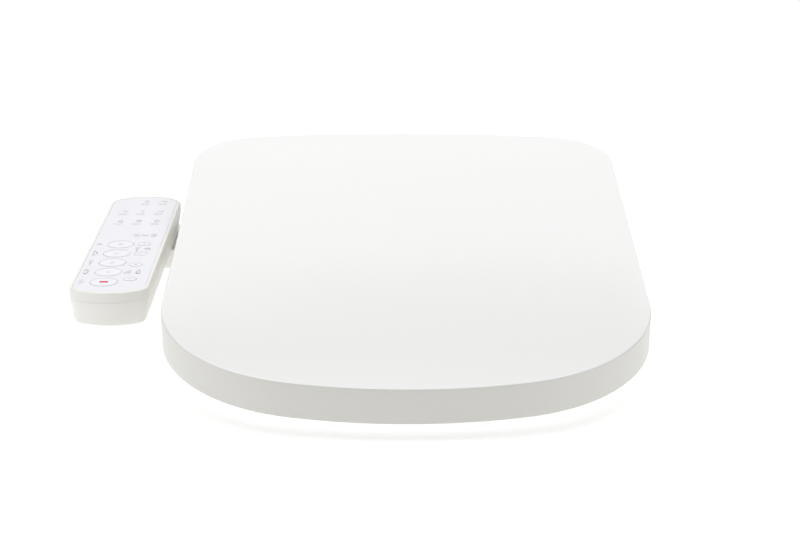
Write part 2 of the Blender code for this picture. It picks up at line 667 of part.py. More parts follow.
def pinion_outline():
    """A small spur wheel with play in its mesh, a gap facing straight down at the rack's tooth."""
    root, crest = PINION_RADIUS - DEDENDUM, PINION_RADIUS + ADDENDUM
    flanks = ((root, -TOOTH_ROOT), (crest, -TOOTH_CREST), (crest, TOOTH_CREST), (root, TOOTH_ROOT))
    step = 360 / PINION_TEETH
    points = []
    for i in range(PINION_TEETH):
        for radius, turn in flanks:
            angle = math.radians(-90 + (i + 0.5 + turn) * step)
            points.append((PINION_AT + radius * math.cos(angle),
                           RACK_HEIGHT + PINION_RADIUS + radius * math.sin(angle)))
    return points


def make_nozzle():
    side_view = NOZZLE_FRAME @ ALONG_X
    tube_body = cylinder("nozzle_tube", on_nozzle(TIP_LENGTH + GAP), on_nozzle(NOZZLE_LENGTH), NOZZLE_RADIUS,
                         steps=24)
    rack = prism("nozzle_rack", [rack_outline()], -RACK_HALF_WIDTH, RACK_HALF_WIDTH, side_view)
    finish(join(tube_body, rack), "steel", NOZZLE_TIP)
    tip = cylinder("nozzle_tip", on_nozzle(TIP_LENGTH), on_nozzle(NOSE_LENGTH - 0.0002), NOZZLE_RADIUS,
                   steps=24)
    nose = cylinder("nozzle_nose", on_nozzle(NOSE_LENGTH), on_nozzle(0), NOZZLE_RADIUS, 0.0045, 24)
    finish(join(tip, nose), "gloss_white", NOZZLE_TIP)

    channel_half = NOZZLE_RADIUS + 0.0008
    outer_half = channel_half + 0.0027
    cradle = box("nozzle_cradle", (-outer_half, 0.014, -outer_half), (outer_half, 0.098, 0), NOZZLE_FRAME)
    channel = box("cradle_channel", (-channel_half, 0, -channel_half), (channel_half, 0.12, 0.02),
                  NOZZLE_FRAME)
    post = box("cradle_post", (-0.008, -0.0250, 0.0110), (0.008, -0.0180, 0.0398))
    finish(join(cut(cradle, channel), post), "grey_plastic")

    centre = on_nozzle(PINION_AT, RACK_HEIGHT + PINION_RADIUS)
    pinion = prism("drive_pinion", [pinion_outline()], -PINION_HALF_WIDTH, PINION_HALF_WIDTH, side_view)
    shaft = cylinder("pinion_shaft", centre + Vector((-0.006, 0, 0)), centre + Vector((0.0118, 0, 0)), 0.002,
                     steps=16)
    finish(join(pinion, shaft), "brass", centre)
    motor_ends = [centre + Vector((x, 0, 0)) for x in MOTOR_ENDS]
    finish(cylinder("nozzle_motor", *motor_ends, MOTOR_RADIUS), "steel")


# ---------------------------------------------------------------- water and electric works
def make_water_works():
    heater = box("water_heater", HEATER_LOW, HEATER_HIGH)
    ribs = []
    for i in range(6):
        x = HEATER_LOW[0] + 0.006 + i * 0.014
        ribs.append(box(f"heater_rib_{i}", (x, -0.057, HEATER_HIGH[2] - 0.002), (x + 0.004, -0.001, 0.060)))
    finish(join(heater, *ribs), "grey_plastic")
    pump = cylinder("water_pump", (0.014, PUMP_Y, PUMP_Z), (0.036, PUMP_Y, PUMP_Z), PUMP_RADIUS)
    head = cylinder("pump_head", (0.035, PUMP_Y, PUMP_Z), (PUMP_HEAD_END_X, PUMP_Y, PUMP_Z),
                    PUMP_HEAD_RADIUS)
    finish(join(pump, head), "black_plastic")
    finish(box("inlet_valve", VALVE_LOW, VALVE_HIGH), "grey_plastic")

    x, y = INLET
    fitting = cylinder("water_inlet_fitting", (x, y, BASE_BOTTOM_Z), (x, y, VALVE_LOW[2] - 0.0005),
                       INLET_RADIUS)
    crests = []
    for i in range(4):
        z = 0.006 + i * THREAD_PITCH
        crests.append(cylinder(f"inlet_thread_{i}", (x, y, z), (x, y, z + 0.0014), THREAD_RADIUS))
    collar = cylinder("inlet_collar", (x, y, 0.0195), (x, y, 0.0255), COLLAR_RADIUS, steps=6)
    bore = cylinder("inlet_bore", (x, y, 0), (x, y, 0.022), INLET_BORE_RADIUS, steps=24)
    finish(cut(join(fitting, *crests, collar), bore), "brass")


def make_hoses():
    """Two short hoses, each with one bend, that end just short of the pieces they feed."""
    level, bend = 0.035, 0.008
    end_x = VALVE_LOW[0] + 0.010
    start_y = HEATER_HIGH[1] - 0.012
    flat = [(HEATER_HIGH[0] + GAP, start_y), *arc((end_x - bend, start_y + bend), bend, -90, 0, 6),
            (end_x, VALVE_LOW[1] - GAP)]
    finish(tube("hose_valve_to_heater", [(x, y, level) for x, y in flat], HOSE_RADIUS), "grey_rubber")
    bend = 0.006
    end_x = HEATER_LOW[0] + 0.016
    flat = [(PUMP_HEAD_END_X + GAP, PUMP_Y), *arc((end_x - bend, PUMP_Y - bend), bend, 90, 0, 6),
            (end_x, HEATER_HIGH[1] + GAP)]
    finish(tube("hose_pump_to_heater", [(x, y, PUMP_Z) for x, y in flat], HOSE_RADIUS), "grey_rubber")


def make_electric_works():
    outer_end = (GLAND_X, BASE_REAR_Y + 0.0045, GLAND_Z)
    gland = cylinder("power_cord_gland", (GLAND_X, BASE_REAR_Y - 0.006, GLAND_Z), outer_end, GLAND_RADIUS,
                     steps=24)
    rim = cylinder("gland_rim", (GLAND_X, BASE_REAR_Y + GAP, GLAND_Z), outer_end, *GLAND_RIM_RADII, 24)
    bore = cylinder("gland_bore", (GLAND_X, 0.02, GLAND_Z), (GLAND_X, 0.05, GLAND_Z), GLAND_BORE_RADIUS,
                    steps=20)
    finish(cut(join(gland, rim), bore), "black_plastic")
    board = box("main_circuit_board", BOARD_LOW, BOARD_HIGH)
    chips = []
    for i in range(4):
        x = -0.148 + i * 0.026
        chips.append(box(f"chip_{i}", (x, -0.046, 0.0230), (x + 0.016, -0.026, 0.0310 + 0.002 * i)))
    finish(join(board, *chips), "board_green")


# ---------------------------------------------------------------- side control pad
def make_pad_case(keys):
    draft_start = PAD_BOTTOM_Z + PAD_ROLL
    roll = arc((PAD_DRAFT + PAD_ROLL, draft_start), PAD_ROLL, 270, 180, 3)
    lower = pad_loft("pad_lower_case", [*roll, (0, PAD_SPLIT_Z - GAP)])
    floor = (PAD_WALL + PAD_DRAFT, PAD_BOTTOM_Z + PAD_WALL)
    cut(lower, pad_loft("pad_lower_hollow", [floor, (PAD_WALL, PAD_DECK[0])]))
    for i, y in enumerate(PAD_SCREWS_Y, 1):
        seat_z = PAD_BOTTOM_Z + 0.0012
        cut(lower, cylinder(f"pad_screw_hole_{i}", (PAD_X, y, 0.03), (PAD_X, y, 0.05), 0.0019, steps=16),
            cylinder(f"pad_screw_sink_{i}", (PAD_X, y, 0.03), (PAD_X, y, seat_z), 0.0036, steps=20))
        screw = cylinder(f"pad_screw_{i}", (PAD_X, y, 0.0395), (PAD_X, y, 0.052), PAD_SCREW_RADIUS, steps=12)
        head = cylinder(f"pad_screw_head_{i}", (PAD_X, y, 0.0384), (PAD_X, y, 0.0399), PAD_SCREW_HEAD_RADIUS,
                        steps=16)
        finish(join(screw, head), "steel")
    finish(lower, "pad_white")

    chamfer_z = PAD_TOP_Z - PAD_CHAMFER
    upper = pad_loft("pad_upper_case", [(0, PAD_SPLIT_Z), (0, chamfer_z), (PAD_CHAMFER, PAD_TOP_Z)])
    cut(upper, prism("pad_upper_hollow", [pad_outline(PAD_WALL)], 0.05, PAD_DECK[0]),
        prism("pad_upper_recess", [pad_outline(PANEL_INSET - GAP)], PAD_DECK[1], 0.08))
    for name, x, y, radius in keys:
        cut(upper, cylinder(f"key_hole_{name}", (x, y, 0.05), (x, y, 0.08), radius + GAP))
    finish(upper, "pad_white")
    holes = [circle((x, y), radius + GAP) for _, x, y, radius in keys]
    finish(prism("pad_face_panel", [pad_outline(PANEL_INSET), *holes], *PANEL), "panel_white")


def make_keys(keys):
    for name, x, y, radius in keys:
        foot, top = (x, y, KEY_BOTTOM_Z), (x, y, KEY_TOP_Z)
        flange = cylinder(f"flange_{name}", foot, (x, y, KEY_FLANGE_TOP_Z), radius + KEY_FLANGE)
        finish(join(cylinder(f"key_{name}", foot, top, radius), flange), "key_white", top)


def make_pad_works():
    mat = rectangle(PAD_X - 0.024, PAD_X + 0.024, -0.262, -0.125, 0.006)
    finish(prism("keypad_mat", [mat], *MAT_HEIGHTS), "grey_rubber")
    low, high = PAD_BOARD_HEIGHTS
    board = box("pad_circuit_board", (PAD_X - 0.022, -0.258, low), (PAD_X + 0.022, -0.012, high))
    finish(board, "board_green")


def make_neck():
    """The arm that carries the pad, hollow so that the pad's wires can run into the base."""
    inner, outer = -BASE_HALF_WIDTH - GAP, PAD_X - 0.018
    outline = rounded([(outer, -0.058, 0.012), (inner, -0.060, 0), (inner, 0.014, 0), (-0.198, 0.028, 0.006),
                       (outer, 0.028, 0.012)])
    duct = box("neck_duct", (outer + 0.010, -0.048, 0.016), (-0.180, 0.004, 0.034))
    finish(cut(prism("pad_neck", [outline], *NECK_HEIGHTS), duct), "pad_white")


clear_scene()
PARTS = new_collection("electric_bidet_seat")
CUTTERS = new_collection("cutters")
KEYS = [(name, BIG_KEY_X, y, BIG_KEY_RADIUS) for name, y in BIG_KEYS]
KEYS += [(name, SMALL_KEY_X, y, SMALL_KEY_RADIUS) for name, y in SMALL_KEYS]
make_lid()
make_seat()
make_base()
make_cover()
make_hinge_works()
make_release_button()
make_mounting_plate()
make_nozzle()
make_water_works()
make_hoses()
make_electric_works()
make_pad_case(KEYS)
make_keys(KEYS)
make_pad_works()
make_neck()
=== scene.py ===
"""Electric bidet seat with a side control pad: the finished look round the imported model.

Lengths are in metres, +Z up, +Y to the rear. The origin is under the mounting plate, on the bowl's top.
"""

import json
import math

import bmesh
import bpy
from mathutils import Matrix, Vector

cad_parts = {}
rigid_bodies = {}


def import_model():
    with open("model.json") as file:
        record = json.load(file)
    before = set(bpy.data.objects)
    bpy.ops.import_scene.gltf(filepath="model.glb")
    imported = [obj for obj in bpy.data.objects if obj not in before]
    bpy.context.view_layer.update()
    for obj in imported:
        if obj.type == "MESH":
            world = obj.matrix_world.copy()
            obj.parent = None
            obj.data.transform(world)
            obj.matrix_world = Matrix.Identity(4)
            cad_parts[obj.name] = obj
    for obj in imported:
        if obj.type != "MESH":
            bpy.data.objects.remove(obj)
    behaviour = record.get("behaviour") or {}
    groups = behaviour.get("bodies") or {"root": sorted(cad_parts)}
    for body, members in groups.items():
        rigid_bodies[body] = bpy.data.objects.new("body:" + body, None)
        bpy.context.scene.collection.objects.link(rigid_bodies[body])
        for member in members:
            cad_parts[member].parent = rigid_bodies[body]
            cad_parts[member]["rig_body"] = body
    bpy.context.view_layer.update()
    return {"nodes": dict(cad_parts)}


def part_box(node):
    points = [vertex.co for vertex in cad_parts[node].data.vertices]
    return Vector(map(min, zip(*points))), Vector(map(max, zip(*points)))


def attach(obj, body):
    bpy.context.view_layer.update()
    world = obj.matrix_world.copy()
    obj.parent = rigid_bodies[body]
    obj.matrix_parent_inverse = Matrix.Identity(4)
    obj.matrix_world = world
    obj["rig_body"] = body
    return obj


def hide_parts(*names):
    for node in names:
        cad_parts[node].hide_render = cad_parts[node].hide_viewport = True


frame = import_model()
nodes = frame["nodes"]


# ---------------------------------------------------------------- studio
# A plain white sweep and soft light from above, with a wide panel behind for the lid to reflect. The camera
# stands in front of the lid's front edge and looks down at it through a long lens.
LENS_MM = 89.8
LOOK_DOWN = math.radians(16.9)
CAMERA_BACK = 1.3886          # from the lid's front edge
CAMERA_UP = 0.5171
CAMERA_LEFT = 0.0153
FRAME_SHIFT = 0.01625

LID_FRONT_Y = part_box("lid_shell")[0].y
LID_FRONT_Z = 0.044

camera_data = bpy.data.cameras.new("camera")
camera_data.lens = LENS_MM
camera_data.sensor_width = 36
camera_data.shift_x = FRAME_SHIFT
camera = bpy.data.objects.new("camera", camera_data)
camera.location = (-CAMERA_LEFT, LID_FRONT_Y - CAMERA_BACK, LID_FRONT_Z + CAMERA_UP)
camera.rotation_euler = (math.pi / 2 - LOOK_DOWN, 0, 0)
bpy.context.scene.collection.objects.link(camera)
bpy.context.scene.camera = camera
bpy.context.scene.view_settings.view_transform = "Standard"


def linear(hex_colour):
    """An sRGB hex colour as the linear values that a shader takes."""
    parts = [int(hex_colour[i:i + 2], 16) / 255 for i in (1, 3, 5)]
    return (*[c / 12.92 if c <= 0.04045 else ((c + 0.055) / 1.055) ** 2.4 for c in parts], 1)


def mesh_piece(name, work):
    """A bmesh as a new object of the scene, its normals facing out."""
    bmesh.ops.recalc_face_normals(work, faces=work.faces)
    mesh = bpy.data.meshes.new(name)
    work.to_mesh(mesh)
    work.free()
    obj = bpy.data.objects.new(name, mesh)
    bpy.context.scene.collection.objects.link(obj)
    return obj


FLOOR_HALF, FLOOR_DROP = 6, 0.0005
floor_work = bmesh.new()
bmesh.ops.create_grid(floor_work, x_segments=1, y_segments=1, size=FLOOR_HALF)
floor = mesh_piece("floor", floor_work)
floor.location.z = -FLOOR_DROP
floor_look = bpy.data.materials.new("white_floor")
floor_look.use_nodes = True
floor_shader = floor_look.node_tree.nodes["Principled BSDF"]
floor_shader.inputs["Base Color"].default_value = linear("#BFBFBF")
floor_shader.inputs["Roughness"].default_value = 0.95
floor_shader.inputs["Specular IOR Level"].default_value = 0.0
floor_shader.inputs["Emission Color"].default_value = (1, 1, 1, 1)
floor_shader.inputs["Emission Strength"].default_value = 0.66     # a table lit from under its white sheet
floor.data.materials.append(floor_look)

world = bpy.data.worlds.new("studio")
world.use_nodes = True
world.node_tree.nodes["Background"].inputs["Color"].default_value = (1, 1, 1, 1)
world.node_tree.nodes["Background"].inputs["Strength"].default_value = 0.08
bpy.context.scene.world = world


def soft_light(name, place, aim, width, height, brightness):
    """A soft box whose face has the given brightness."""
    data = bpy.data.lights.new(name, "AREA")
    data.shape = "RECTANGLE"
    data.size, data.size_y = width, height
    data.energy = brightness * math.pi * width * height
    lamp = bpy.data.objects.new(name, data)
    lamp.location = place
    lamp.rotation_euler = (Vector(aim) - Vector(place)).to_track_quat("-Z", "Y").to_euler()
    bpy.context.scene.collection.objects.link(lamp)


soft_light("overhead", (0, -0.30, 1.8), (0, -0.30, 0), 4.0, 2.6, 1.62)
soft_light("rear_panel", (0, 2.0, 0.92), (0, 0, 0.92), 3.6, 1.52, 0.90)
soft_light("side_left", (-1.5, -0.7, 0.55), (-0.1, -0.3, 0.02), 0.7, 0.9, 2.0)
soft_light("side_right", (1.5, -0.7, 0.55), (0.1, -0.3, 0.02), 0.7, 0.9, 1.4)


# ---------------------------------------------------------------- lid
# One injection-moulded slab of glossy white polypropylene with a deep skirt. The skirt stops short of the
# tail, which swings down behind the housing. Two ears under it ride on the hinge pins.
LID_WIDTH, LID_LENGTH = 0.394, 0.520
LID_SLOPE = math.radians(8.3)
LID_SKIRT, LID_LIP, LID_WALL = 0.030, 0.0055, 0.0035
SKIRT_ENDS, LIP_STARTS = 0.450, 0.472
LID_EDGE = 0.0016             # radius of the top edge
RIM_IN, RIM_UP = 0.0005, 0.0006   # the rounding of the skirt's lower edge
LID_FILLET = 0.0015           # inside, where the skirt meets the top
HINGE_Y, HINGE_Z = 0.021, 0.080
EAR_RADIUS, EAR_SPAN = 0.011, (0.152, 0.163)
EAR_ROOT = ((-0.018, 0.0265), (0.011, 0.0305))   # behind and above the hinge, inside the lid's top
LID_FRAME = Matrix.Translation((0, LID_FRONT_Y, LID_FRONT_Z)) @ Matrix.Rotation(LID_SLOPE, 4, "X")


def arc(centre, radius, start, end, steps):
    """Points on an arc, angles in degrees, both ends included."""
    turns = [math.radians(start + (end - start) * i / steps) for i in range(steps + 1)]
    return [(centre[0] + radius * math.cos(t), centre[1] + radius * math.sin(t)) for t in turns]


def lid_outline(inset):
    """The lid's plan: a wide front arc run into large corners, straight sides and a nearly flat rear."""
    front_radius, corner, rear_radius, rear_corner = 0.390, 0.138, 1.000, 0.062
    corner_x = LID_WIDTH / 2 - corner
    corner_y = front_radius - math.sqrt((front_radius - corner) ** 2 - corner_x ** 2)
    meet_front = math.degrees(math.atan2(corner_y - front_radius, corner_x))
    rear_centre_y = LID_LENGTH - rear_radius
    rear_x = LID_WIDTH / 2 - rear_corner
    rear_y = rear_centre_y + math.sqrt((rear_radius - rear_corner) ** 2 - rear_x ** 2)
    meet_rear = math.degrees(math.atan2(rear_y - rear_centre_y, rear_x))
    right = arc((0, front_radius), front_radius - inset, -90, meet_front, 14)
    right += arc((corner_x, corner_y), corner - inset, meet_front, 0, 40)[1:]
    side = (LID_WIDTH / 2 - inset, corner_y)
    right += [(side[0], side[1] + (rear_y - side[1]) * i / 24) for i in range(1, 24)]
    right += arc((rear_x, rear_y), rear_corner - inset, 0, meet_rear, 32)
    right += arc((0, rear_centre_y), rear_radius - inset, meet_rear, 90, 14)[1:]
    return right + [(-x, y) for x, y in reversed(right[1:-1])]


def skirt_depth(along):
    """How deep the skirt hangs at a distance from the front edge."""
    share = min(max((along - SKIRT_ENDS) / (LIP_STARTS - SKIRT_ENDS), 0), 1)
    return LID_SKIRT + (LID_LIP - LID_SKIRT) * share


def loft(work, rings, close=False):
    """Faces between rings of equal count, and round to the first ring if closed."""
    loops = [[work.verts.new(p) for p in ring] for ring in rings]
    pairs = list(zip(loops, loops[1:])) + ([(loops[-1], loops[0])] if close else [])
    for one, other in pairs:
        for i in range(len(one)):
            j = (i + 1) % len(one)
            work.faces.new((one[i], one[j], other[j], other[i]))
    return loops


def prism(work, outline, low, high, matrix):
    """A flat outline pushed from low to high along the matrix's Z, with its two caps."""
    loops = loft(work, [[matrix @ Vector((x, y, z)) for x, y in outline] for z in (low, high)])
    work.faces.new(list(reversed(loops[0])))
    work.faces.new(loops[1])


ALONG_X = Matrix(((0, 0, 1, 0), (1, 0, 0, 0), (0, 1, 0, 0), (0, 0, 0, 1)))

lid_work = bmesh.new()
lid_rings = []
for lid_turn in (90, 67, 45, 22, 0):          # the rounded top edge, from the top round to the side
    lean = math.radians(lid_turn)
    inset = LID_EDGE * (1 - math.cos(lean))
    depth = LID_EDGE * (1 - math.sin(lean))
    lid_rings.append([LID_FRAME @ Vector((x, y, -depth)) for x, y in lid_outline(inset)])
outside = lid_outline(0)
for inset, rise, from_top in ((0, RIM_UP, False), (RIM_IN, 0, False), (LID_WALL - RIM_IN, 0, False),
                              (LID_WALL, RIM_UP, False), (LID_WALL, LID_WALL + LID_FILLET, True),
                              (LID_WALL + LID_FILLET, LID_WALL, True)):
    lid_rings.append([LID_FRAME @ Vector((x, y, -rise if from_top else rise - skirt_depth(outer[1])))
                      for (x, y), outer in zip(lid_outline(inset), outside)])
lid_loops = loft(lid_work, lid_rings)
lid_work.faces.new(lid_loops[0])
lid_work.faces.new(lid_loops[-1])
lid = mesh_piece("lid", lid_work)

ear_work = bmesh.new()
for side in (-1, 1):
    ear = arc((HINGE_Y, HINGE_Z), EAR_RADIUS, 0, -180, 40)
    ear += [(HINGE_Y + back, HINGE_Z + up) for back, up in EAR_ROOT]
    prism(ear_work, ear, *sorted(side * edge for edge in EAR_SPAN), ALONG_X)
ears = mesh_piece("lid_ears", ear_work)


def settle(obj):
    """Makes the object's modifiers part of its mesh."""
    bpy.context.view_layer.update()
    graph = bpy.context.evaluated_depsgraph_get()
    mesh = bpy.data.meshes.new_from_object(obj.evaluated_get(graph))
    obj.modifiers.clear()
    old = obj.data
    obj.data = mesh
    bpy.data.meshes.remove(old)
    return obj


def mould_edges(obj, width, segments=2, degrees=40):
    """The small radius that a mould leaves on every edge, made part of the mesh."""
    bevel = obj.modifiers.new("mould_edges", "BEVEL")
    bevel.width, bevel.segments = width, segments
    bevel.limit_method, bevel.angle_limit = "ANGLE", math.radians(degrees)
    return settle(obj)


def smooth(obj, degrees=35):
    """Shades the piece smooth, with a crisp line wherever it turns sharply."""
    obj.data.shade_smooth()
    obj.data.set_sharp_from_angle(angle=math.radians(degrees))
    return obj


def add_node(tree, kind, inputs=None, links=None, **settings):
    """One node with its settings, its input values, and its links from other nodes' outputs."""
    node = tree.nodes.new(kind)
    for key, value in settings.items():
        setattr(node, key, value)
    for key, value in (inputs or {}).items():
        node.inputs[key].default_value = value
    for key, source in (links or {}).items():
        tree.links.new(source, node.inputs[key])
    return node


def plastic(name, colour, roughness, grain_mm, grain, mottling=0.02, coat=0.0):
    """Moulded plastic: a flat pigment with faint flow mottling, and the mould's own fine texture."""
    look = bpy.data.materials.new(name)
    look.use_nodes = True
    tree = look.node_tree
    shader = tree.nodes["Principled BSDF"]
    place = add_node(tree, "ShaderNodeTexCoord").outputs["Object"]
    flow = add_node(tree, "ShaderNodeTexNoise", {"Scale": 9.0, "Detail": 3.0}, {"Vector": place})
    base = linear(colour)
    darker = (*[c * (1 - mottling) for c in base[:3]], 1)
    tint = add_node(tree, "ShaderNodeMix", {"A": base, "B": darker}, {"Factor": flow.outputs["Fac"]},
                    data_type="RGBA")
    tree.links.new(tint.outputs["Result"], shader.inputs["Base Color"])
    sheen = add_node(tree, "ShaderNodeMapRange", {"To Min": roughness * 0.9, "To Max": roughness * 1.12},
                     {"Value": flow.outputs["Fac"]})
    tree.links.new(sheen.outputs["Result"], shader.inputs["Roughness"])
    fine = add_node(tree, "ShaderNodeTexNoise", {"Scale": 1000 / grain_mm, "Detail": 2.0}, {"Vector": place})
    bump = add_node(tree, "ShaderNodeBump", {"Strength": grain, "Distance": 0.00002},
                    {"Height": fine.outputs["Fac"]})
    tree.links.new(bump.outputs["Normal"], shader.inputs["Normal"])
    shader.inputs["Coat Weight"].default_value = coat
    shader.inputs["Coat Roughness"].default_value = 0.22
    shader.inputs["IOR"].default_value = 1.49
    return look


# Polished polypropylene: an even white with a soft gloss and the faintest ripple.
polished_polypropylene = plastic("polished_polypropylene", "#F7F7F6", 0.24, 1.2, 0.15, 0.01, 0.3)
# The skirt is left satin from the mould. Its darker, warmer colour is painted shade, for the upright faces
# that take less light than the top.
satin_skirt_painted_shade = plastic("satin_skirt_painted_shade", "#E3E2DD", 0.34, 0.9, 0.35, 0.02)
lid_normal = LID_FRAME.to_3x3() @ Vector((0, 0, 1))
TOP_FACING = 0.6              # cosine of the lean past which a face counts as skirt
for piece in (lid, ears):
    mould_edges(piece, 0.0004)
    piece.data.materials.append(polished_polypropylene)
    piece.data.materials.append(satin_skirt_painted_shade)
    # Faces that lean away from the top take the skirt's colour, a painted shade darker than the top's.
    for face in piece.data.polygons:
        face.material_index = int(face.normal.dot(lid_normal) < TOP_FACING)
    smooth(piece)
    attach(piece, "lid")
    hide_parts("lid_shell")


# ---------------------------------------------------------------- seat ring
# A hollow ring welded from two mouldings, crowned on top and rolled over at both edges so that nothing
# presses. Two arms run back from it to the hinge pins. The lower moulding closes it underneath.
RING_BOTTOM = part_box("seat_top_shell")[0].z
RING_REAR_Y = -0.075
RING_SETBACK, RING_INSET = 0.008, 0.012
RING_FRONT_TOP = 0.034
RING_RISE = math.radians(6.5)
HOLE_Y, HOLE_HALF_WIDTH, HOLE_HALF_LENGTH = -0.250, 0.105, 0.135
ARCH_LOW, ARCH_HIGH = (-0.030, -0.15, -0.02), (0.030, -0.05, 0.038)   # the nozzle's way out at the back
OUTER_ROLL, INNER_ROLL = 0.009, 0.013
RING_WALL = 0.0035
OUTER_HOLLOW, INNER_HOLLOW = 0.0095, 0.0125   # of the hollow's top below the ring's, at each edge
ARM_RADIUS, ARM_SPAN = 0.012, (0.166, 0.180)
ARM_ROOT = ((-0.0755, 0.0740), (-0.0755, 0.0532), (-0.055, 0.0540))   # (y, z) where an arm meets the ring


def ring_top_z(y):
    return RING_FRONT_TOP + (y - LID_FRONT_Y) * math.tan(RING_RISE)


def ring_edge(turn):
    """The ring's outer edge along a ray from the hole's middle, and where that ray leaves the hole."""
    ray = Vector((math.cos(turn), math.sin(turn)))
    outline = [Vector((x, LID_FRONT_Y + RING_SETBACK + y * math.cos(LID_SLOPE)))
               for x, y in lid_outline(RING_INSET)]
    centre = Vector((0, HOLE_Y))
    reach = 0
    for one, other in zip(outline, outline[1:] + outline[:1]):
        a, b = one - centre, other - centre
        cross = ray.cross(b - a)
        if abs(cross) < 1e-12:
            continue
        along, share = a.cross(b - a) / cross, a.cross(ray) / cross
        if along > 0 and -1e-9 <= share <= 1 + 1e-9:
            reach = along
    if ray.y > 0:
        reach = min(reach, (RING_REAR_Y - HOLE_Y) / ray.y)
    hole = 1 / math.hypot(ray.x / HOLE_HALF_WIDTH, ray.y / HOLE_HALF_LENGTH)
    return centre + ray * reach, centre + ray * hole


RING_TURNS = [2 * math.pi * i / 240 for i in range(240)]
ring_edges = [ring_edge(turn) for turn in RING_TURNS]
ROLL_TURNS = [math.radians(a) for a in (0, 18, 36, 54, 72, 90)]
# (in from an edge, below the top, which edge it follows)
ring_profile = [(OUTER_ROLL * (1 - math.cos(a)), -OUTER_ROLL * (1 - math.sin(a)), 0) for a in ROLL_TURNS]
ring_profile += [(INNER_ROLL * (1 - math.cos(a)), -INNER_ROLL * (1 - math.sin(a)), 1)
                 for a in reversed(ROLL_TURNS)]


def ring_point(outer, inner, inward, drop, follows):
    """A point in from the outer or the inner edge, at a depth below the ring's top."""
    start, far = (outer, inner) if follows == 0 else (inner, outer)
    flat = start + (far - start).normalized() * inward
    return Vector((flat.x, flat.y, ring_top_z(flat.y) + drop))


def ring_foot(edge, other, inward):
    """A point on the ring's lower rim, in from one edge towards the other."""
    return Vector((*(edge + (other - edge).normalized() * inward), RING_BOTTOM))


seat_work = bmesh.new()
seat_rings = [[ring_foot(outer, inner, 0) for outer, inner in ring_edges]]
seat_rings += [[ring_point(outer, inner, *station) for outer, inner in ring_edges]
               for station in ring_profile]
seat_rings += [[ring_foot(inner, outer, 0) for outer, inner in ring_edges],
               [ring_foot(inner, outer, RING_WALL) for outer, inner in ring_edges],
               [ring_point(outer, inner, RING_WALL, -INNER_HOLLOW, 1) for outer, inner in ring_edges],
               [ring_point(outer, inner, RING_WALL, -OUTER_HOLLOW, 0) for outer, inner in ring_edges],
               [ring_foot(outer, inner, RING_WALL) for outer, inner in ring_edges]]
loft(seat_work, seat_rings, close=True)
seat = mesh_piece("seat_ring", seat_work)


def cut_away(obj, cutter):
    """Takes the cutter's shape out of the object."""
    boolean = obj.modifiers.new("cut", "BOOLEAN")
    boolean.operation, boolean.solver, boolean.object = "DIFFERENCE", "EXACT", cutter
    settle(obj)
    bpy.data.objects.remove(cutter)
    return obj


def block(name, low, high):
    """An axis-aligned block between two corners."""
    work = bmesh.new()
    bmesh.ops.create_cube(work, size=1)
    size, middle = Vector(high) - Vector(low), (Vector(high) + Vector(low)) / 2
    bmesh.ops.transform(work, verts=work.verts,
                        matrix=Matrix.Translation(middle) @ Matrix.Diagonal((*size, 1)))
    return mesh_piece(name, work)


cut_away(seat, block("arch", ARCH_LOW, ARCH_HIGH))
arm_work = bmesh.new()
for side in (-1, 1):
    arm = [*arc((HINGE_Y, HINGE_Z), ARM_RADIUS, -90, 95, 40), *ARM_ROOT]
    prism(arm_work, arm, *sorted(side * edge for edge in ARM_SPAN), ALONG_X)
arms = mesh_piece("seat_arms", arm_work)

# Smooth glossy resin, a little creamier than the lid.
seat_resin = plastic("seat_resin", "#F4F4F1", 0.26, 1.2, 0.2, 0.015, 0.2)
for piece, width in ((seat, 0.0003), (arms, 0.0012)):
    mould_edges(piece, width)
    piece.data.materials.append(seat_resin)
    smooth(piece)
    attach(piece, "seat")
    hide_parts("seat_top_shell")


# ---------------------------------------------------------------- casings and works that keep their CAD shape
# Mouldings, castings and turned parts whose shape is already right. Each is merged into clean faces and given
# the small radius that its making leaves on every edge.
def finished_copy(node, look, width, segments=2):
    """A clean, soft-edged copy of a CAD node that stands in for it."""
    work = bmesh.new()
    work.from_mesh(nodes[node].data)
    bmesh.ops.remove_doubles(work, verts=work.verts, dist=0.000005)
    bmesh.ops.dissolve_limit(work, angle_limit=math.radians(0.5), verts=work.verts, edges=work.edges)
    copy = mesh_piece(node + "_finished", work)
    if width:
        mould_edges(copy, width, segments)
    copy.data.materials.clear()
    copy.data.materials.append(look)
    smooth(copy)
    for face in copy.data.polygons:
        if len(face.vertices) > 4:            # a flat side, kept flat up to its rounded edge
            face.use_smooth = False
    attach(copy, nodes[node]["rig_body"])
    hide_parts(node)
    return copy


# Satin moulded ABS: a fine spark-eroded grain that breaks up the gloss.
satin_abs = plastic("satin_abs", "#ECECE8", 0.38, 0.6, 0.35)
# Glass-filled nylon: grey, dull, with a coarse grain.
filled_nylon = plastic("filled_nylon", "#8A8C8E", 0.5, 0.5, 0.5, 0.06)
black_nylon = plastic("black_nylon", "#1B1C1D", 0.5, 0.5, 0.4, 0.08)
# Moulded silicone rubber: matt, with a dusty surface.
silicone_rubber = plastic("silicone_rubber", "#A3A3A1", 0.75, 0.4, 0.6, 0.05)
# Lacquered glass-fibre board: green, with a faint weave.
circuit_board = plastic("circuit_board", "#1E5B36", 0.42, 0.35, 0.5, 0.2)


